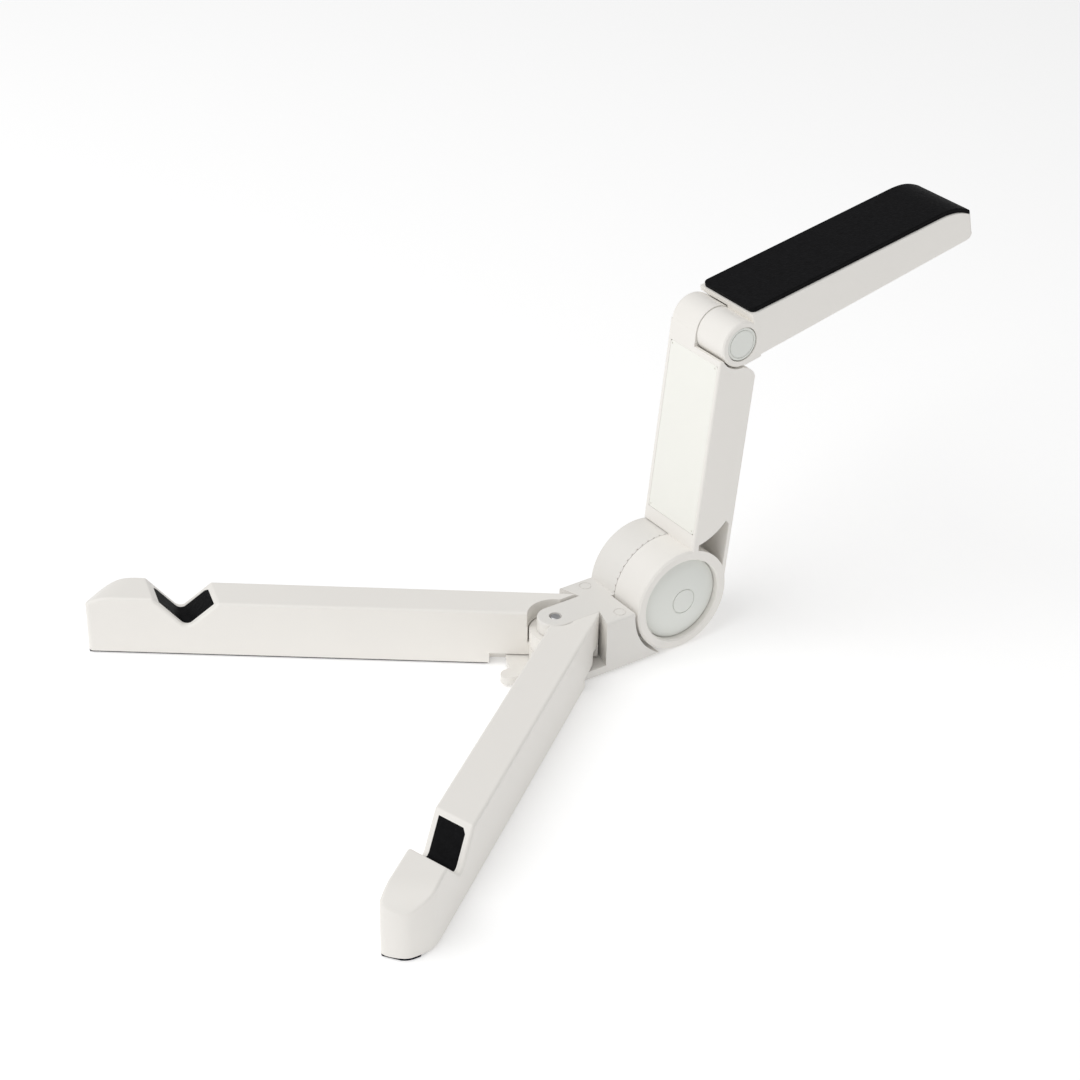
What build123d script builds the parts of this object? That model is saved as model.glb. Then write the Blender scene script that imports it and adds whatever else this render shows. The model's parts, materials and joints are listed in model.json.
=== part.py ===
from build123d import *
import os
from math import cos, radians, sin, sqrt

# Folding tablet stand. Millimetres. The origin is on the table under the leg pivot.
# -Y is the front (the legs point that way), +Y the rear, +Z up, +X the stand's own left.

# ---- driving dimensions -------------------------------------------------------------
WIDTH = 24.0                # width of the hub, the column and the arm
HALF = WIDTH / 2
HUB_TOP = 17.6              # height of the hub
PLATE_BOTTOM = 0.85         # the hub's base plate stands this far off the table
PLATE_TOP = 3.4
PLATE_NOSE_R = 14.2         # the base plate's front end is round about the pivot
PLATE_TAB_R = 2.4           # half width and end radius of the tab at the plate's front end
PLATE_TAB_REACH = 18.5      # pivot to the tip of that tab
SEAM = 0.08                 # half the gap between two knuckles of the main hinge

PIN_R = 1.55                # leg pivot pin
PIN_CLEARANCE = 0.05
TONGUE_R = 5.33             # half width of the hub's top tongue, and its end radius
TONGUE_BOTTOM = 13.5
SPLAY = 36.5                # how far each leg is swung out in the pose as modelled

LEG_TOP = 18.1
NOSE_TOP = 18.9             # in front of the notch the leg stands a little higher
LEG_LENGTH = 137.0          # pivot to tip
LEG_FLARE = 0.55            # the legs are this much wider near the tip than at the hub
NOSE_START = 119.0          # the rounding of the tip, seen from the side
NOSE_R = 12.0
NOSE_SKEW = 23.0            # it falls towards the leg's outer front corner
LEG_GAP = 0.15              # half the gap between the closed legs
LEG_REAR_R = 12.6           # the legs' rear ends are round about the pivot
LEG_BOTTOM = 0.6            # underside of the leg shells, on top of the foot strips
LUG_R = 7.5
LUG_SWEEP_R = 8.0
LEFT_RECESS_R = 8.2         # the hollows in the legs' tops round the end of the tongue
RIGHT_RECESS_R = 6.4
LEFT_LUG = (3.85, 7.9)      # heights of the two lugs on the pivot pin
RIGHT_LUG = (8.15, 13.2)
LEVEL_SPLIT = 8.03          # height between the two lugs
UNDER_TONGUE = 13.35        # top of everything that passes under the tongue
PIVOT_WASHERS = [           # the gaps in the stack on the pivot pin
    (PLATE_TOP, LEFT_LUG[0]),
    (LEFT_LUG[1], RIGHT_LUG[0]),
    (RIGHT_LUG[1], TONGUE_BOTTOM),
]
WASHER_R = 5.0
NOTCH_AT = 109.2            # pivot to the bottom of the tablet notch
NOTCH_SKEW = 20.3           # the notch crosses the leg at this angle to square
NOTCH_HALF = 9.0
NOTCH_DEPTH = 8.8
NOTCH_ROUND = 2.0
LINER = 1.0                 # thickness of the rubber in the notch
LEG_EDGE_R = 0.9            # rounding of the legs' upper edges

HINGE_Y = 37.2              # main hinge axis, along X
HINGE_Z = 16.25
BARREL_R = 16.1
SADDLE_R = 17.2             # hollow in the hub that faces the column's ring
COLUMN_SADDLE_R = 16.4      # hollow in the column that faces the hub's barrel
CAP_R = 12.9
AXLE_R = 3.0

COLUMN_LEAN = 6.0           # the column leans back this far from vertical
COLUMN_FRONT = 1.2          # column faces, measured back from the main hinge axis
COLUMN_REAR = 15.3
COLUMN_UP = 80.25           # main hinge axis to upper hinge axis, along the column
KNUCKLE_R = 6.9             # the arm's knuckle
COLUMN_KNUCKLE_R = 7.15
KNUCKLE_BACK = 8.4          # upper hinge axis, measured back from the main hinge axis
KNUCKLE_SEAM = 0.18
TOP_SADDLE_R = 7.5
FRONT_LIP = 4.3             # the column's front stops this far below the upper hinge axis
TOP_CAP_R = 5.0
TOP_AXLE_R = 2.0

ARM_RISE = 12.3             # the arm rises this far above the horizontal
ARM_LENGTH = 87.1
ARM_START = 4.8             # where the arm's full width begins, above its hinge axis
ARM_LOW_START = 7.6         # and below it, on the side of the column's knuckle
ARM_TOP_START = 7.4         # height of the arm's top face above its hinge axis at its start
ARM_TOP_BEND = (75.4, 4.95)
PAD = 1.5                   # thickness of the pad on the arm
PAD_START = 5.2

WALL = 2.0
SKIN = 1.4                  # thickness of the covers


# ---- helpers ------------------------------------------------------------------------
def block(x, y, z):
    """A box from three (low, high) pairs."""
    centre = Pos((x[0] + x[1]) / 2, (y[0] + y[1]) / 2, (z[0] + z[1]) / 2)
    return centre * Box(x[1] - x[0], y[1] - y[0], z[1] - z[0])


def post(radius, z, at=(0, 0)):
    """An upright cylinder."""
    return Pos(at[0], at[1], (z[0] + z[1]) / 2) * Cylinder(radius, z[1] - z[0])


def roller(radius, x, y=0.0, z=0.0):
    """A cylinder along X from x[0] to x[1]."""
    return Pos((x[0] + x[1]) / 2, y, z) * Rot(0, 90, 0) * Cylinder(radius, x[1] - x[0])


def tube(outer, inner, x):
    """A ring along X."""
    return roller(outer, x) - roller(inner, (x[0] - 1, x[1] + 1))


def side_sheet(outline, x):
    """Extrudes a closed outline of (y, z) edges along X from x[0] to x[1]."""
    face = Plane.YZ * make_face(outline)
    return Pos(x[0], 0, 0) * extrude(face, amount=x[1] - x[0])


def plan_sheet(outline, z):
    """Extrudes a closed outline of (x, y) edges upwards from z[0] to z[1]."""
    return Pos(0, 0, z[0]) * extrude(make_face(outline), amount=z[1] - z[0])


def hexagon_nut(across_flats, bore, x):
    """A hexagon nut with its axis along X."""
    face = Plane.YZ * RegularPolygon(across_flats / 2, 6, major_radius=False)
    nut = Pos(x[0], 0, 0) * extrude(face, amount=x[1] - x[0])
    return nut - roller(bore, (x[0] - 1, x[1] + 1))


def mirrored(shape):
    return mirror(shape, about=Plane.YZ)


def small_screw(at, z_head, shank):
    """A countersunk-in-cover screw that points up; z_head is the bottom of its head."""
    head = post(1.6, (z_head, z_head + 0.8), at)
    return head + post(0.8, (z_head + 0.8, z_head + 0.8 + shank), at)


# ---- hub ----------------------------------------------------------------------------
def base_outline(half_width, nose_r, rear):
    """Outline with straight sides and a front end that is round about the pivot."""
    corner_y = -sqrt(nose_r ** 2 - half_width ** 2)
    left = (-half_width, corner_y)
    right = (half_width, corner_y)
    nose = ThreePointArc(left, (0, -nose_r), right)
    return [nose, Polyline(right, (half_width, rear), (-half_width, rear), left)]


def barrel_bores(inner_bore):
    """Everything that is hollow in one knuckle of the main hinge, on the +X side."""
    cap_seat = roller(CAP_R + 0.2, (8.6, HALF + 1))
    rim_chamfer = Pos(HALF, 0, 0) * Rot(0, -90, 0) * Cone(CAP_R + 1.2, CAP_R, 1.2)
    pocket = roller(CAP_R - 0.9, (5.2, 8.7))
    bore = roller(inner_bore, (0, 6))
    detent_seat = roller(13.4, (0, 2.6))
    return cap_seat + rim_chamfer + pocket + bore + detent_seat


def at_hinge(shape):
    return Pos(0, HINGE_Y, HINGE_Z) * shape


def hub_housing():
    body = block((-HALF, HALF), (0, HINGE_Y), (PLATE_TOP, HUB_TOP))
    body = fillet(body.edges().filter_by(Axis.Y).group_by(Axis.Z)[-1], 0.8)
    wall_corner = sqrt((LEG_REAR_R + 0.55) ** 2 - (TONGUE_R + 0.24) ** 2)
    corner_x = TONGUE_R + 0.24
    cheek_y = 9.9
    opening = Polyline(
        (-HALF - 1, -1), (HALF + 1, -1), (HALF + 1, cheek_y), (HALF, cheek_y),
        (corner_x, wall_corner), (-corner_x, wall_corner),
        (-HALF, cheek_y), (-HALF - 1, cheek_y), close=True,
    )
    body -= plan_sheet(opening, (0, HUB_TOP + 1))
    body -= post(LEG_REAR_R + 0.55, (0, HUB_TOP + 1))
    tongue = block((-TONGUE_R, TONGUE_R), (0, 14.5), (TONGUE_BOTTOM, HUB_TOP))
    tongue += post(TONGUE_R, (TONGUE_BOTTOM, HUB_TOP))
    tongue = fillet(tongue.edges().group_by(Axis.Z)[-1].filter_by(GeomType.CIRCLE), 0.5)
    body += tongue
    body -= at_hinge(roller(SADDLE_R, (-SEAM, HALF + 1)))
    barrel = roller(BARREL_R, (-HALF, -SEAM))
    barrel = chamfer(barrel.edges().group_by(Axis.X)[0], 0.5)
    body += at_hinge(barrel)
    body -= at_hinge(mirrored(barrel_bores(AXLE_R + PIN_CLEARANCE)))
    nut_well = tube(6.4, 5.0, (-8.0, -5.2))
    body += at_hinge(nut_well)
    body -= at_hinge(seam_notches())
    body -= post(PIN_R + PIN_CLEARANCE, (TONGUE_BOTTOM - 1, HUB_TOP + 1))
    body -= post(PIN_R + 0.35, (HUB_TOP - 0.8, HUB_TOP + 1))
    for x in (-8.6, 8.6):
        mark = (HUB_TOP - 0.2, HUB_TOP + 1)
        body -= post(1.85, mark, (x, 16.8)) - post(1.6, mark, (x, 16.8))
    for spot in BASE_SCREWS:
        body -= post(0.85, (PLATE_TOP - 1, PLATE_TOP + 8), spot)
    return body


def seam_notches():
    """Small notches round the rim of the hub's knuckle, which show as dots in the seam."""
    notches = []
    count = 48
    for i in range(count):
        tooth = block((-SEAM - 0.4, 0), (-0.3, 0.3), (BARREL_R - 0.45, BARREL_R + 1))
        notches.append(Rot(i * 360 / count, 0, 0) * tooth)
    return Compound(children=notches)


BASE_SCREWS = [(-8.0, 16.6), (8.0, 16.6)]


def hub_base_plate():
    plate = plan_sheet(base_outline(HALF, PLATE_NOSE_R, 30.0), (PLATE_BOTTOM, PLATE_TOP))
    plate = fillet(plate.edges().group_by(Axis.Z)[0].filter_by(GeomType.CIRCLE), 0.6)
    tab_middle = PLATE_TAB_REACH - PLATE_TAB_R
    tab_level = (PLATE_BOTTOM, PLATE_TOP)
    plate += block((-PLATE_TAB_R, PLATE_TAB_R), (-tab_middle, -tab_middle + 6), tab_level)
    plate += post(PLATE_TAB_R, tab_level, (0, -tab_middle))
    plate -= at_hinge(roller(SADDLE_R, (-HALF - 1, HALF + 1)))
    plate -= post(PIN_R + PIN_CLEARANCE, (0, 5))
    plate -= post(2.95, (0, 2.05))
    for spot in BASE_SCREWS:
        plate -= post(0.9, (0, 5), spot)
        plate -= post(1.7, (0, PLATE_BOTTOM + 0.9), spot)
    return plate


def hub_base_screws():
    return Compound(children=[small_screw(s, PLATE_BOTTOM + 0.05, 9.0) for s in BASE_SCREWS])


def hub_foot_pad():
    return plan_sheet(base_outline(HALF - 3.0, PLATE_NOSE_R - 2.5, 25.0), (0, PLATE_BOTTOM))


def leg_pivot_pin():
    shank = post(PIN_R, (2.0, HUB_TOP - 0.1))
    shank = chamfer(shank.edges().group_by(Axis.Z)[-1], 0.3)
    return shank + post(2.85, (PLATE_BOTTOM + 0.1, 2.0))


def pivot_washers():
    """One thin washer in each gap of the stack on the pivot pin."""
    washers = []
    for low, high in PIVOT_WASHERS:
        washers.append(post(WASHER_R, (low + 0.03, high - 0.03)) - post(PIN_R + 0.1, (0, 20)))
    return Compound(children=washers)


# ---- main hinge ---------------------------------------------------------------------
def main_axle_screw():
    shank = roller(AXLE_R, (-8.3, 7.1))
    head = roller(5.0, (7.1, 8.5))
    socket = Pos(7.6, 0, 0) * extrude(Plane.YZ * RegularPolygon(2.0, 6), amount=2)
    return at_hinge(shank + head - socket)


def main_axle_nut():
    return at_hinge(hexagon_nut(8.4, AXLE_R + 0.02, (-8.0, -5.25)))


def dished_washer(x, rise, inner, outer):
    """A cone-shaped spring washer along X, 0.5 thick."""
    profile = Polyline(
        (x, inner), (x + 0.5, inner), (x + 0.5 + rise, outer), (x + rise, outer), close=True,
    )
    return revolve(make_face(profile), axis=Axis.X)


def main_spring_washers():
    washers = [
        tube(7.0, AXLE_R + 0.1, (5.26, 5.75)),
        dished_washer(6.1, -0.3, AXLE_R + 0.1, 6.6),
        dished_washer(6.55, 0.0, AXLE_R + 0.1, 5.6),
    ]
    return at_hinge(Compound(children=washers))


def detent_ring():
    """Toothed friction ring of the main hinge, on the +X side of the seam."""
    ring = tube(13.2, 5.0, (1.0, 2.55))
    count = 24
    for i in range(count):
        ridge = block((0.28, 1.2), (-0.55, 0.55), (6.2, 12.6))
        ring += Rot(i * 360 / count, 0, 0) * ridge
    return ring


def main_cap():
    """Domed cap over one end of the main hinge, on the +X side."""
    crown = 12.7
    dome_r = 32.2
    cap = roller(CAP_R, (8.7, crown)) & (Pos(crown - dome_r, 0, 0) * Sphere(dome_r))
    return cap - tube(4.0, 3.7, (crown - 0.55, crown + 1))


# ---- column (built upright about the main hinge axis, +Y is its rear) ---------------
def on_column(shape):
    return Pos(0, HINGE_Y, HINGE_Z) * Rot(-COLUMN_LEAN, 0, 0) * shape


def at_top_hinge(shape):
    return Pos(0, KNUCKLE_BACK, COLUMN_UP) * shape


PLATE_PEGS = [(-8.0, 22.8), (8.0, 22.8), (-8.0, 72.0), (8.0, 72.0)]
FRONT_PLATE = ((-10.4, 11.0), (20.8, 74.2))


def column_side_pocket():
    """The three-cornered hollow above the ring, open to the +X side."""
    outline = [
        ThreePointArc((3.3, 17.6), (8.6, 20.2), (12.3, 23.9)),
        Polyline((12.3, 23.9), (13.6, 22.6), (13.6, 5.0), (3.3, 5.0), (3.3, 17.6)),
    ]
    return side_sheet(outline, (2.4, HALF + 1)) - roller(BARREL_R, (0, HALF + 2))


def top_bores(bore):
    """The hollows of one knuckle of the upper hinge, on the +X side."""
    return roller(TOP_CAP_R + 0.2, (10.2, 13)) + roller(4.3, (6.5, 10.3)) + roller(bore, (0, 7))


def column_housing():
    body = block((-HALF, HALF), (COLUMN_FRONT, COLUMN_REAR), (0, COLUMN_UP))
    body = fillet(body.edges().filter_by(Axis.Z), 0.7)
    body -= roller(COLUMN_SADDLE_R, (-HALF - 1, SEAM))
    ring = roller(BARREL_R, (SEAM, HALF))
    body += chamfer(ring.edges().group_by(Axis.X)[-1], 0.5)
    body -= block((-HALF - 1, SEAM), (-20, 20), (-1, 7.4))
    body -= column_side_pocket()
    body -= at_top_hinge(roller(TOP_SADDLE_R, (-0.1, HALF + 1)))
    body -= at_top_hinge(block((-0.1, HALF + 1), (-8, 8), (-0.1, 1)))
    shoulder = block((-0.1, HALF + 1), (1.9, 8.0), (-12.5, 1)) - roller(5.0, (-1, 14), 1.9, -12.5)
    body -= at_top_hinge(shoulder)
    body -= at_top_hinge(block((-0.1, HALF + 1), (-9, -3), (-FRONT_LIP, 1)))
    knuckle = roller(COLUMN_KNUCKLE_R, (-HALF, -KNUCKLE_SEAM))
    knuckle = fillet(knuckle.edges().group_by(Axis.X)[0], 1.2)
    body += at_top_hinge(knuckle)
    body -= at_top_hinge(block((-KNUCKLE_SEAM, 1), (-8, 8), (-7.5, 8)) & roller(7.5, (-2, 2)))
    body -= at_top_hinge(mirrored(top_bores(TOP_AXLE_R + PIN_CLEARANCE)))
    body -= barrel_bores(AXLE_R + 0.06)
    plate_x, plate_z = FRONT_PLATE
    body -= block(plate_x, (0, COLUMN_FRONT + SKIN), plate_z)
    body -= block((-10, 10), (0, COLUMN_REAR - WALL), (25.5, 69.0))
    for x, z in PLATE_PEGS:
        body -= Pos(x, COLUMN_FRONT + SKIN + 2.0, z) * Rot(90, 0, 0) * Cylinder(1.25, 4.4)
    return body


def column_front_plate():
    plate_x, plate_z = FRONT_PLATE
    inset = 0.05
    x = (plate_x[0] + inset, plate_x[1] - inset)
    z = (plate_z[0] + inset, plate_z[1] - inset)
    plate = block(x, (COLUMN_FRONT, COLUMN_FRONT + SKIN), z)
    plate = fillet(plate.edges().filter_by(Axis.Y), 0.8)
    plate = fillet(plate.faces().sort_by(Axis.Y)[0].edges(), 0.12)
    for x, z in PLATE_PEGS:
        plate += Pos(x, COLUMN_FRONT + SKIN + 1.3, z) * Rot(90, 0, 0) * Cylinder(1.2, 3)
    for x in (plate_x[0] + 0.95, plate_x[1] - 0.95):
        for z in (plate_z[0] + 0.95, plate_z[1] - 0.95):
            plate -= Pos(x, COLUMN_FRONT, z) * Rot(90, 0, 0) * Cylinder(0.3, 0.5)
    return plate


# ---- upper hinge --------------------------------------------------------------------
def on_top_hinge(shape):
    return on_column(at_top_hinge(shape))


def top_axle_screw():
    screw = roller(TOP_AXLE_R, (-9.0, 8.2)) + roller(3.6, (8.2, 9.8))
    socket = Pos(8.8, 0, 0) * extrude(Plane.YZ * RegularPolygon(1.4, 6), amount=2)
    return on_top_hinge(screw - socket)


def top_axle_nut():
    return on_top_hinge(hexagon_nut(6.2, TOP_AXLE_R + 0.02, (-8.8, -6.55)))


def top_spring_washers():
    washers = [
        tube(4.0, TOP_AXLE_R + 0.1, (6.56, 7.0)),
        dished_washer(7.3, -0.25, TOP_AXLE_R + 0.1, 3.9),
        dished_washer(7.68, 0.0, TOP_AXLE_R + 0.1, 3.4),
    ]
    return on_top_hinge(Compound(children=washers))


def top_friction_washer():
    return on_top_hinge(tube(6.75, TOP_AXLE_R + 0.1, (-0.13, 0.13)))


def top_cap():
    """Cap over one end of the upper hinge, on the +X side."""
    cap = roller(TOP_CAP_R, (10.35, 11.75))
    cap = fillet(cap.edges().group_by(Axis.X)[-1], 0.3)
    return cap - tube(4.3, 4.05, (11.5, 13))


# ---- arm (built level about the upper hinge axis, +Y towards its tip) ---------------
def on_arm(shape):
    return on_top_hinge(Rot(ARM_RISE + COLUMN_LEAN, 0, 0) * shape)


def arm_top(y):
    """Height of the arm's top face above its hinge axis."""
    slope = (ARM_TOP_BEND[1] - ARM_TOP_START) / (ARM_TOP_BEND[0] - ARM_START)
    return ARM_TOP_START + slope * (y - ARM_START)


def arm_side(start, lift):
    """Side outline of the arm from start to its tip, its top face raised by lift."""
    bend = (ARM_TOP_BEND[0], ARM_TOP_BEND[1] + lift)
    tip = (ARM_LENGTH - 0.1 * lift, 1.0 + lift)
    slope = (bend[1] - arm_top(start) - lift) / (bend[0] - start)
    return [
        Line((start, -KNUCKLE_R), (ARM_LENGTH - 2.6, -KNUCKLE_R)),
        Line((ARM_LENGTH - 2.6, -KNUCKLE_R), (ARM_LENGTH, -KNUCKLE_R + 2.4)),
        Line((ARM_LENGTH, -KNUCKLE_R + 2.4), tip),
        Spline(tip, (ARM_TOP_BEND[0] + 6.4, 3.9 + lift), bend,
               tangents=[(-1, 0.75), (-1, -slope)]),
        Line(bend, (start, arm_top(start) + lift)),
        Line((start, arm_top(start) + lift), (start, -KNUCKLE_R)),
    ]


ARM_TOP_PLATE = (9.5, 73.5)


def arm_plate_space(clearance):
    """The space under the pad that the arm's top plate fills."""
    low, high = ARM_TOP_PLATE
    low += clearance
    high -= clearance
    outline = Polyline(
        (low, arm_top(low) - SKIN), (high, arm_top(high) - SKIN),
        (high, arm_top(high)), (low, arm_top(low)), close=True,
    )
    return side_sheet(outline, (-10.9 + clearance, 10.9 - clearance))


def arm_housing():
    body = side_sheet(arm_side(ARM_START, 0), (-HALF, HALF))
    lower = body.edges().group_by(Axis.Z)[0].filter_by(Axis.Y)
    body = fillet(lower, 1.2)
    tip_corners = body.edges().filter_by(Axis.Z).group_by(Axis.Y)[-1]
    body = fillet(tip_corners, 1.5)
    body -= block((-HALF - 1, KNUCKLE_SEAM), (0, ARM_LOW_START), (-8, 0))
    body -= roller(TOP_SADDLE_R, (-HALF - 1, KNUCKLE_SEAM))
    block_front = Polyline(
        (0, -KNUCKLE_R), (ARM_START + 1, -KNUCKLE_R), (ARM_START + 1, 2.0), (0, 2.0), close=True,
    )
    knuckle = roller(KNUCKLE_R, (KNUCKLE_SEAM, HALF))
    knuckle = chamfer(knuckle.edges().group_by(Axis.X)[-1], 0.4)
    body += side_sheet(block_front, (KNUCKLE_SEAM, HALF)) + knuckle
    body -= top_bores(TOP_AXLE_R + PIN_CLEARANCE)
    cavity = Polyline(
        (12.0, -KNUCKLE_R + WALL), (71.5, -KNUCKLE_R + WALL), (71.5, 9.0), (12.0, 9.0), close=True,
    )
    body -= side_sheet(cavity, (-9.8, 9.8))
    body -= arm_plate_space(0)
    return body


def arm_pad():
    pad = side_sheet(arm_side(PAD_START, PAD), (-11.3, 11.3))
    rounding = pad.edges().filter_by(Axis.Z).group_by(Axis.Y)[0]
    pad = fillet(rounding, 1.8)
    pad -= side_sheet(arm_side(PAD_START - 2, 0), (-HALF - 1, HALF + 1))
    return pad.solids().sort_by(Axis.Z)[-1]


# ---- legs (built closed, pointing to -Y, the one on the +X side) --------------------
def leg_outline():
    rear_y = sqrt(LEG_REAR_R ** 2 - HALF ** 2)
    inner_rear = sqrt(LEG_REAR_R ** 2 - LEG_GAP ** 2)
    middle = LEG_REAR_R * sin(radians(45))
    outer = HALF + LEG_FLARE
    nose_start = (outer, -(LEG_LENGTH - 12.5))
    nose_tip = (4.0, -LEG_LENGTH)
    inner_start = (LEG_GAP, -(LEG_LENGTH - 1.6))
    return [
        ThreePointArc((LEG_GAP, inner_rear), (middle, middle), (HALF, rear_y)),
        Line((HALF, rear_y), nose_start),
        Spline(nose_start, (11.9, -(LEG_LENGTH - 6.3)), (9.3, -(LEG_LENGTH - 2.4)), nose_tip,
               tangents=[(0, -1), (-1, -0.08)]),
        Spline(nose_tip, inner_start, tangents=[(-1, -0.08), (-0.1, 1)]),
        Line(inner_start, (LEG_GAP, inner_rear)),
    ]


def notch_prism(deeper):
    """The V the tablet stands in, cut deeper all along by the amount given."""
    rear_slope = NOTCH_DEPTH / NOTCH_HALF
    front_slope = (NOSE_TOP - LEG_TOP + NOTCH_DEPTH) / NOTCH_HALF
    rear_drop = deeper * sqrt(1 + rear_slope ** 2)
    front_drop = deeper * sqrt(1 + front_slope ** 2)
    y = (rear_drop - front_drop) / (rear_slope + front_slope)
    bottom = LEG_TOP - NOTCH_DEPTH + rear_slope * y - rear_drop
    top = NOSE_TOP + 4.0
    front_y = y - (top - bottom) / front_slope
    rear_y = y + (top - bottom) / rear_slope
    outline = Polyline((front_y, top), (y, bottom), (rear_y, top), close=True)
    prism = side_sheet(outline, (-HALF, HALF))
    prism = fillet(prism.edges().filter_by(Axis.X).sort_by(Axis.Z)[:1], NOTCH_ROUND + deeper)
    return Pos(HALF / 2, -NOTCH_AT, 0) * Rot(0, 0, -NOTCH_SKEW) * prism


LINER_X = (1.8, 10.5)
LINER_TOP = 17.0
LINER_CORNER = 0.9


def liner_space():
    """The pocket of the notch liner; its outer upper corners are cut off."""
    (x0, x1), corner = LINER_X, LINER_CORNER
    window = Polyline(
        (x0, 0), (x1, 0), (x1, LINER_TOP - corner), (x1 - corner, LINER_TOP), (x0, LINER_TOP),
        close=True,
    )
    slab = extrude(Plane.XZ * make_face(window), amount=LEG_LENGTH)
    return notch_prism(LINER) & slab


def tongue_sweep(recess_r):
    """Where the hub's tongue passes over the leg while it swings from closed to open."""
    reach = TONGUE_R + 0.47
    sweep = post(recess_r, (UNDER_TONGUE, LEG_TOP + 1))
    steps = 5
    for i in range(steps):
        band = block((-reach, reach), (0, 20), (UNDER_TONGUE, LEG_TOP + 1))
        sweep += Rot(0, 0, -i * (SPLAY + 0.6) / (steps - 1)) * band
    return sweep


LEG_SCREWS = [(6.0, -31.0), (6.0, -88.0)]
LEG_COVER = ((1.6, 10.5), (-127.0, -23.0))


def upper_edges(leg):
    """Every sharp edge that bounds the blank's top, nose and notch, but not its rear end."""
    chosen = []
    for edge in leg.edges():
        box = edge.bounding_box()
        upright = box.size.X < 0.001 and box.size.Y < 0.001
        smooth_across = box.size.X > HALF / 2 and box.max.Z < LEG_TOP - 0.001
        rear_end = box.min.Y > 3.0
        if box.min.Z > LEG_TOP / 2 and not (upright or smooth_across or rear_end):
            chosen.append(edge)
    return chosen


def nose_rounding():
    """What is cut away above the tip of the leg."""
    reach = (-80, 40)
    corner = block(reach, (-NOSE_START - NOSE_R, -NOSE_START), (NOSE_TOP - NOSE_R, NOSE_TOP + 2))
    corner -= roller(NOSE_R, reach, -NOSE_START, NOSE_TOP - NOSE_R)
    return Rot(0, 0, NOSE_SKEW) * corner


def leg_blank():
    leg = plan_sheet(leg_outline(), (LEG_BOTTOM, NOSE_TOP))
    behind_notch = block((-80, 80), (0, LEG_LENGTH + 80), (LEG_TOP, NOSE_TOP + 1))
    leg -= Pos(HALF / 2, -NOTCH_AT, 0) * Rot(0, 0, -NOTCH_SKEW) * behind_notch
    leg -= nose_rounding()
    leg -= notch_prism(0)
    return fillet(upper_edges(leg), LEG_EDGE_R)


def leg_shell(own_lug, cleared_level, recess_r):
    """One leg; own_lug and cleared_level are the heights of its lug and of the other's."""
    leg = leg_blank()
    leg -= liner_space()
    leg -= post(PLATE_NOSE_R + 0.5, (0, LEFT_LUG[0]))
    tab_reach = PLATE_TAB_REACH + 0.6
    leg -= block((-1, PLATE_TAB_R + 0.8), (-tab_reach, -PLATE_NOSE_R + 1.5), (0, LEFT_LUG[0]))
    leg -= tongue_sweep(recess_r)
    leg -= block((-1, HALF + 1), (-1.0, 20), cleared_level)
    leg -= post(LUG_SWEEP_R, cleared_level)
    for washer in PIVOT_WASHERS:
        leg -= post(WASHER_R + 0.3, washer)
    leg += post(LUG_R, own_lug)
    leg -= post(PIN_R + PIN_CLEARANCE, (0, 20))
    cover_x, cover_y = LEG_COVER
    leg -= block((2.2, 10.0), (-95.0, -24.5), (0, LEG_TOP - WALL))
    leg -= block((2.2, 10.0), (-124.0, -95.5), (0, 6.6))
    for spot in LEG_SCREWS:
        leg += post(2.6, (LEG_BOTTOM + SKIN, LEG_TOP - 1), spot)
        leg -= post(0.85, (0, 11), spot)
    leg -= block(cover_x, cover_y, (0, LEG_BOTTOM + SKIN))
    return leg


def leg_cover():
    (x0, x1), (y0, y1) = LEG_COVER
    cover = block((x0 + 0.1, x1 - 0.1), (y0 + 0.1, y1 - 0.1), (LEG_BOTTOM, LEG_BOTTOM + SKIN))
    for spot in LEG_SCREWS:
        cover -= post(0.9, (0, 5), spot)
        cover -= post(1.7, (0, LEG_BOTTOM + 0.9), spot)
    return cover


def leg_screws():
    return Compound(children=[small_screw(s, LEG_BOTTOM + 0.05, 8.5) for s in LEG_SCREWS])


def notch_liner():
    return liner_space() - notch_prism(0)


def foot_strip():
    """Rubber strip under the leg, from the nose to where the leg steps up over the hub."""
    strip = plan_sheet(leg_outline(), (0, LEG_BOTTOM))
    rear_end = -PLATE_TAB_REACH - 0.8
    strip &= block((LEG_GAP + 0.5, HALF - 2.0), (-LEG_LENGTH + 0.3, rear_end), (0, LEG_BOTTOM))
    uprights = strip.edges().filter_by(Axis.Z)
    inner_corner = uprights.sort_by(Axis.Y)[:3].sort_by(Axis.X)[0]
    return fillet([inner_corner, *uprights.group_by(Axis.Y)[-1]], 0.8)


def swung(shape, side):
    """Places a closed-leg shape at the splay of the pose as modelled; side is +1 or -1."""
    if side < 0:
        shape = mirrored(shape)
    return Rot(0, 0, side * SPLAY) * shape


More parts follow.
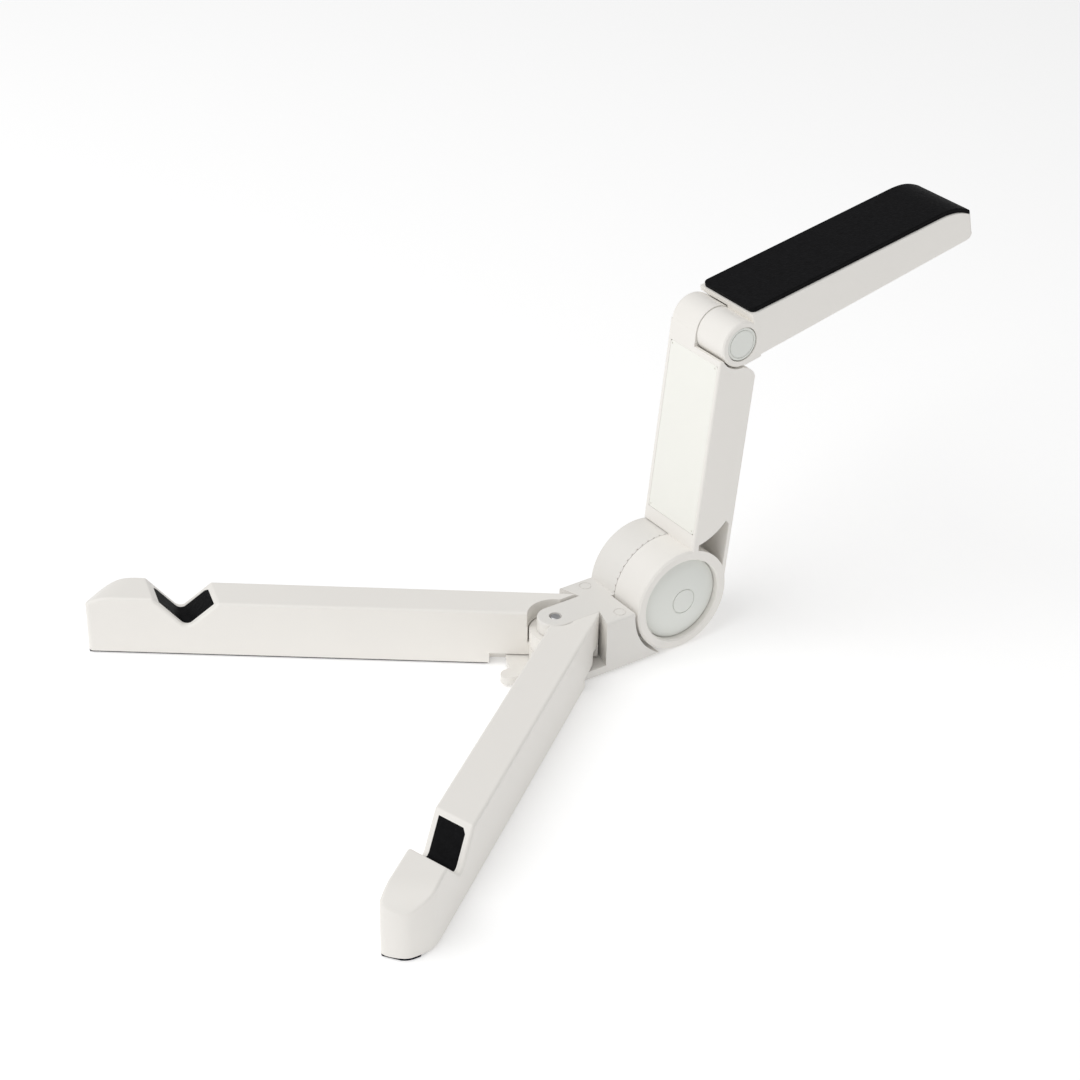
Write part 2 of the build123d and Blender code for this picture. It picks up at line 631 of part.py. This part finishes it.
# ---- every node ---------------------------------------------------------------------
nodes = {
    "hub_housing": hub_housing(),
    "hub_base_plate": hub_base_plate(),
    "hub_base_screws": hub_base_screws(),
    "hub_foot_pad": hub_foot_pad(),
    "leg_pivot_pin": leg_pivot_pin(),
    "pivot_washers": pivot_washers(),
    "main_axle_screw": main_axle_screw(),
    "main_axle_nut": main_axle_nut(),
    "main_spring_washers": main_spring_washers(),
    "hub_detent_ring": at_hinge(mirrored(detent_ring())),
    "hub_hinge_cap": at_hinge(mirrored(main_cap())),
    "column_housing": on_column(column_housing()),
    "column_front_plate": on_column(column_front_plate()),
    "column_detent_ring": on_column(Rot(7.5, 0, 0) * detent_ring()),
    "column_hinge_cap": on_column(main_cap()),
    "top_axle_screw": top_axle_screw(),
    "top_axle_nut": top_axle_nut(),
    "top_spring_washers": top_spring_washers(),
    "top_friction_washer": top_friction_washer(),
    "column_top_cap": on_top_hinge(mirrored(top_cap())),
    "arm_housing": on_arm(arm_housing()),
    "arm_top_plate": on_arm(arm_plate_space(0.1)),
    "arm_pad": on_arm(arm_pad()),
    "arm_hinge_cap": on_arm(top_cap()),
}
LOW_LEVEL = (LEG_BOTTOM - 1, LEVEL_SPLIT)
MID_LEVEL = (LEVEL_SPLIT, UNDER_TONGUE)
for name, side, own_lug, cleared, recess_r in (
    ("right", 1, RIGHT_LUG, LOW_LEVEL, RIGHT_RECESS_R),
    ("left", -1, LEFT_LUG, MID_LEVEL, LEFT_RECESS_R),
):
    nodes[name + "_leg_shell"] = swung(leg_shell(own_lug, cleared, recess_r), side)
    nodes[name + "_leg_cover"] = swung(leg_cover(), side)
    nodes[name + "_leg_screws"] = swung(leg_screws(), side)
    nodes[name + "_notch_liner"] = swung(notch_liner(), side)
    nodes[name + "_foot_strip"] = swung(foot_strip(), side)

os.makedirs("parts", exist_ok=True)
for name, shape in nodes.items():
    export_step(shape, f"parts/{name}.step")
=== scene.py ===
import json
import math

import bmesh
import bpy
from mathutils import Matrix, Vector


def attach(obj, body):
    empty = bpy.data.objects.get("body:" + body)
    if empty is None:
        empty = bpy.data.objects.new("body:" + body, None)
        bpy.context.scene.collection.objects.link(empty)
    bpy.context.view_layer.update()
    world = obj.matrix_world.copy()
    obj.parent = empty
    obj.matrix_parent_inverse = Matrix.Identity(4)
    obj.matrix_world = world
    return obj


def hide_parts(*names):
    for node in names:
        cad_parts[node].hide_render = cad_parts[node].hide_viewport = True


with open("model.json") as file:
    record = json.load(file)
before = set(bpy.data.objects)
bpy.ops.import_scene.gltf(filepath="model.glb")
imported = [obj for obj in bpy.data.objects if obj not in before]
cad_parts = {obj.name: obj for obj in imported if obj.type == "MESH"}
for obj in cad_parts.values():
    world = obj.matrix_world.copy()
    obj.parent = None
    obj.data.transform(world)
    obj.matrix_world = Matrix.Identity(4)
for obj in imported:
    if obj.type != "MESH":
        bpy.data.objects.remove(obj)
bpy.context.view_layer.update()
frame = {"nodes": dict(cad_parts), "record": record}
MM = 0.001

# ---- looks shared by every piece -------------------------------------------------------
SHELL_WHITE = (0.885, 0.860, 0.818)
# painted shade: the shell white darkened for the hub
HUB_SHADED_WHITE = (0.822, 0.802, 0.766)
PLATE_WHITE = (0.905, 0.903, 0.848)
CAP_GREY = (0.80, 0.815, 0.775)
NYLON_WHITE = (0.74, 0.73, 0.69)
PAD_BLACK = (0.0034, 0.0034, 0.0040)
FOOT_BLACK = (0.006, 0.006, 0.012)
STEEL = (0.46, 0.46, 0.47)

PLASTIC_IOR = 1.49
COAT_ROUGHNESS = 0.18
RUBBER_IOR = 1.45
# far under the default of 0.5, to bring the blacks down towards the photo's
RUBBER_SPECULAR = 0.09

# the stretch of a noise's values that the gloss runs over, and the one for the tone
GLOSS_RANGE = (0.25, 0.75)
TONE_RANGE = (0.3, 0.7)


class Nodes:
    """A small helper that builds one material's node tree."""

    def __init__(self, name):
        self.material = bpy.data.materials.new(name)
        self.material.use_nodes = True
        self.tree = self.material.node_tree
        self.shader = self.tree.nodes["Principled BSDF"]
        self.place = self.add("ShaderNodeTexCoord").outputs["Object"]

    def add(self, kind):
        return self.tree.nodes.new(kind)

    def link(self, source, target):
        self.tree.links.new(source, target)

    def noise(self, scale, detail, roughness=0.55):
        """A 0..1 noise; scale is in patches per metre."""
        node = self.add("ShaderNodeTexNoise")
        node.inputs["Scale"].default_value = scale
        node.inputs["Detail"].default_value = detail
        node.inputs["Roughness"].default_value = roughness
        self.link(self.place, node.inputs["Vector"])
        return node.outputs["Fac"]

    def cells(self, scale):
        """Rounded cells, by the distance from each one's middle."""
        node = self.add("ShaderNodeTexVoronoi")
        node.inputs["Scale"].default_value = scale
        self.link(self.place, node.inputs["Vector"])
        return node.outputs["Distance"]

    def gloss(self, fac, low, high):
        """Lets the roughness wander from low to high with a noise."""
        node = self.add("ShaderNodeMapRange")
        node.inputs["From Min"].default_value = GLOSS_RANGE[0]
        node.inputs["From Max"].default_value = GLOSS_RANGE[1]
        node.inputs["To Min"].default_value = low
        node.inputs["To Max"].default_value = high
        self.link(fac, node.inputs["Value"])
        self.link(node.outputs["Result"], self.shader.inputs["Roughness"])

    def two_tone(self, fac, dark, light):
        """Mixes two colours by a noise and feeds the base colour."""
        ramp = self.add("ShaderNodeValToRGB")
        for stop, position, colour in zip(ramp.color_ramp.elements, TONE_RANGE, (dark, light)):
            stop.position = position
            stop.color = (*colour, 1)
        self.link(fac, ramp.inputs["Fac"])
        self.link(ramp.outputs["Color"], self.shader.inputs["Base Color"])

    def bump(self, heights):
        """Adds bumps in turn; heights is a list of (value, strength, distance)."""
        normal = None
        for value, strength, distance in heights:
            node = self.add("ShaderNodeBump")
            node.inputs["Strength"].default_value = strength
            node.inputs["Distance"].default_value = distance
            self.link(value, node.inputs["Height"])
            if normal is not None:
                self.link(normal, node.inputs["Normal"])
            normal = node.outputs["Normal"]
        self.link(normal, self.shader.inputs["Normal"])

    def set(self, **values):
        """Sets the shader's own inputs; an underscore stands for a space."""
        for name, value in values.items():
            self.shader.inputs[name.replace("_", " ")].default_value = value


def scaled(colour, factor):
    return tuple(channel * factor for channel in colour)


def moulded_plastic(name, colour, rough, grain, coat=0.0):
    """Moulded plastic: a fine grain, faint flow mottling and slight changes of gloss."""
    nodes = Nodes(name)
    nodes.two_tone(nodes.noise(scale=55, detail=4), scaled(colour, 0.988), colour)
    nodes.gloss(nodes.noise(scale=320, detail=4), rough - 0.05, rough + 0.06)
    nodes.bump([
        (nodes.noise(scale=40, detail=2), 0.06, 0.4 * MM),
        (nodes.noise(scale=5200, detail=2), grain, 0.05 * MM),
    ])
    nodes.set(IOR=PLASTIC_IOR, Coat_Weight=coat, Coat_Roughness=COAT_ROUGHNESS)
    return nodes.material


def rubber(name, colour, rough, pebble):
    """Matt rubber: a pebbled skin whose tone and gloss are a little uneven."""
    nodes = Nodes(name)
    cells = nodes.cells(scale=1500)
    nodes.two_tone(
        nodes.noise(scale=700, detail=5), scaled(colour, 0.75), scaled(colour, 1.5),
    )
    nodes.gloss(nodes.noise(scale=900, detail=4), rough - 0.08, rough + 0.08)
    nodes.bump([
        (cells, pebble, 0.12 * MM),
        (nodes.noise(scale=3800, detail=3), 0.35, 0.05 * MM),
    ])
    nodes.set(IOR=RUBBER_IOR, Specular_IOR_Level=RUBBER_SPECULAR)
    return nodes.material


def bright_steel(name, colour):
    """Bright steel with a fine grain and small changes of tone and gloss."""
    nodes = Nodes(name)
    nodes.two_tone(
        nodes.noise(scale=260, detail=5), scaled(colour, 0.8), scaled(colour, 1.15),
    )
    nodes.gloss(nodes.noise(scale=1400, detail=4), 0.24, 0.42)
    nodes.bump([(nodes.noise(scale=6000, detail=2), 0.25, 0.03 * MM)])
    nodes.set(Metallic=1.0)
    return nodes.material


MATERIALS = {
    "white_shell": moulded_plastic("white_shell", SHELL_WHITE, rough=0.42, grain=0.22),
    "front_plate": moulded_plastic("front_plate", PLATE_WHITE, rough=0.34, grain=0.01, coat=0.1),
    "cap_plastic": moulded_plastic("cap_plastic", CAP_GREY, rough=0.40, grain=0.15),
    "soft_pad": rubber("soft_pad", PAD_BLACK, rough=0.62, pebble=0.5),
    "foot_rubber": rubber("foot_rubber", FOOT_BLACK, rough=0.70, pebble=0.4),
    "steel": bright_steel("steel", STEEL),
    "wear_plastic": moulded_plastic("wear_plastic", NYLON_WHITE, rough=0.35, grain=0.1),
}
SLOT_OF = {row["node"]: row["material_slot"] for row in frame["record"]["subparts"]}

# the hub's plastic is a darker copy of the other white shells: painted shade, standing in for
# the lesser light that falls on the hub than on the legs
HUB_SHADED_PLASTIC = moulded_plastic("white_shell_hub_shaded", HUB_SHADED_WHITE, rough=0.42, grain=0.22)
HUB_SHADE_NODES = ("hub_housing", "hub_base_plate")


def shade_smooth(piece):
    """Smooth shading that leans on the larger faces and keeps sharp edges sharp."""
    for face in piece.data.polygons:
        face.use_smooth = True
    normals = piece.modifiers.new("normals", "WEIGHTED_NORMAL")
    normals.keep_sharp = True


# ---- carried-over CAD nodes ------------------------------------------------------------
# how far each node's edges are rounded; the nodes not listed keep their CAD edges
EDGE_MM = {
    "hub_housing": 0.35, "hub_base_plate": 0.35, "column_housing": 0.4, "arm_housing": 0.4,
    "right_leg_shell": 0.3, "left_leg_shell": 0.3, "arm_hinge_cap": 0.15, "column_top_cap": 0.15,
    "column_hinge_cap": 0.2, "hub_hinge_cap": 0.2, "leg_pivot_pin": 0.15,
}
EDGE_SEGMENTS = 3
EDGE_FROM = math.radians(32)  # the least fold that is rounded
WELD_MM = 0.002
FLAT_WITHIN = math.radians(0.5)


def dress(name):
    """Gives one CAD node its material, soft moulded edges and smooth shading."""
    piece = frame["nodes"][name]
    piece.data.materials.clear()
    # the hub nodes take the darker copy of the shell white, as painted shade
    material = HUB_SHADED_PLASTIC if name in HUB_SHADE_NODES else MATERIALS[SLOT_OF[name]]
    piece.data.materials.append(material)
    if name in EDGE_MM:
        weld = piece.modifiers.new("weld", "WELD")
        weld.merge_threshold = WELD_MM * MM
        flat = piece.modifiers.new("flat", "DECIMATE")
        flat.decimate_type = "DISSOLVE"
        flat.angle_limit = FLAT_WITHIN
        soft = piece.modifiers.new("soft", "BEVEL")
        soft.width = EDGE_MM[name] * MM
        soft.segments = EDGE_SEGMENTS
        soft.limit_method = "ANGLE"
        soft.angle_limit = EDGE_FROM
        soft.harden_normals = False
    shade_smooth(piece)


for node_name in frame["nodes"]:
    dress(node_name)


# ---- soft pieces -----------------------------------------------------------------------
BODY_OF = {
    node: body
    for body, nodes in frame["record"]["behaviour"]["bodies"].items()
    for node in nodes
}
EDGE_ROLL_MM = {
    "arm_pad": 0.55, "right_notch_liner": 0.28, "left_notch_liner": 0.28,
    "right_foot_strip": 0.06, "left_foot_strip": 0.06, "hub_foot_pad": 0.2,
}
ROLL_SEGMENTS = 4
ROLL_FROM = math.radians(35)
SOFT_WELD_MM = 0.005
SOFT_FLAT_WITHIN = math.radians(1.0)


def soft_piece(node):
    """A rubber or foam piece: its CAD solid's form with every sharp edge rolled over."""
    mesh = frame["nodes"][node].data.copy()
    work = bmesh.new()
    work.from_mesh(mesh)
    bmesh.ops.remove_doubles(work, verts=work.verts, dist=SOFT_WELD_MM * MM)
    bmesh.ops.dissolve_limit(
        work, angle_limit=SOFT_FLAT_WITHIN, verts=work.verts, edges=work.edges,
    )
    sharp = [edge for edge in work.edges if edge.calc_face_angle(0.0) > ROLL_FROM]
    bmesh.ops.bevel(
        work, geom=sharp, offset=EDGE_ROLL_MM[node] * MM, offset_type="OFFSET",
        segments=ROLL_SEGMENTS, profile=0.5, affect="EDGES", clamp_overlap=True,
    )
    work.to_mesh(mesh)
    work.free()
    piece = bpy.data.objects.new("soft_" + node, mesh)
    bpy.context.scene.collection.objects.link(piece)
    mesh.materials.clear()
    mesh.materials.append(MATERIALS[SLOT_OF[node]])
    shade_smooth(piece)
    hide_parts(node)
    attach(piece, BODY_OF[node])
    return piece


for node_name in EDGE_ROLL_MM:
    soft = soft_piece(node_name)


# ---- room, light and camera ------------------------------------------------------------
FLOOR_HALF = 6.0
FLOOR_DROP_MM = 0.05  # keeps the floor just clear of the rubber feet
FLOOR_WHITE = 0.95
FLOOR_ROUGHNESS = 0.8
FLOOR_GLOW = 0.235
SKY_STRENGTH = 0.52


def floor():
    mesh = bpy.data.meshes.new("floor")
    corners = [(-1, -1), (1, -1), (1, 1), (-1, 1)]
    mesh.from_pydata(
        [(x * FLOOR_HALF, y * FLOOR_HALF, 0) for x, y in corners], [], [(0, 1, 2, 3)],
    )
    plane = bpy.data.objects.new("floor", mesh)
    plane.location.z = -FLOOR_DROP_MM * MM
    bpy.context.scene.collection.objects.link(plane)
    nodes = Nodes("floor")
    nodes.set(Base_Color=(FLOOR_WHITE, FLOOR_WHITE, FLOOR_WHITE, 1), Roughness=FLOOR_ROUGHNESS)
    nodes.set(Emission_Color=(1, 1, 1, 1), Emission_Strength=FLOOR_GLOW)
    mesh.materials.append(nodes.material)


def soft_light(name, place, aim, size, watts):
    data = bpy.data.lights.new(name, "AREA")
    data.shape = "DISK"
    data.size = size
    data.energy = watts
    lamp = bpy.data.objects.new(name, data)
    lamp.location = place
    lamp.rotation_euler = (Vector(aim) - Vector(place)).to_track_quat("-Z", "Y").to_euler()
    bpy.context.scene.collection.objects.link(lamp)


def sky(strength):
    world = bpy.data.worlds.new("studio")
    world.use_nodes = True
    background = world.node_tree.nodes["Background"]
    background.inputs["Color"].default_value = (1, 1, 1, 1)
    background.inputs["Strength"].default_value = strength
    bpy.context.scene.world = world


# the camera that was fitted to the photo
CAMERA_AZIMUTH = math.radians(54.79)
CAMERA_ELEVATION = math.radians(30.75)
CAMERA_ROLL = math.radians(1.02)
CAMERA_DISTANCE = 0.5895
CAMERA_TARGET = Vector((0.0710, -0.0560, 0.0967))
CAMERA_LENS_MM = 81.6
CAMERA_SENSOR_MM = 36.0
CAMERA_CLIP = 0.01


def camera():
    az, el = CAMERA_AZIMUTH, CAMERA_ELEVATION
    back = Vector((math.sin(az) * math.cos(el), -math.cos(az) * math.cos(el), math.sin(el)))
    level_right = Vector((math.cos(az), math.sin(az), 0))
    level_up = back.cross(level_right)
    right = level_right * math.cos(CAMERA_ROLL) + level_up * math.sin(CAMERA_ROLL)
    up = back.cross(right)
    data = bpy.data.cameras.new("camera")
    data.lens = CAMERA_LENS_MM
    data.sensor_width = CAMERA_SENSOR_MM
    data.clip_start = CAMERA_CLIP
    eye = bpy.data.objects.new("camera", data)
    turn = Matrix((right, up, back)).transposed().to_4x4()
    eye.matrix_world = Matrix.Translation(CAMERA_TARGET + back * CAMERA_DISTANCE) @ turn
    bpy.context.scene.collection.objects.link(eye)
    bpy.context.scene.camera = eye


floor()
sky(SKY_STRENGTH)
soft_light("key", place=(-0.10, -0.72, 1.08), aim=(0, 0, 0.05), size=1.5, watts=8.9)
camera()

bpy.context.scene.view_settings.view_transform = "Standard"
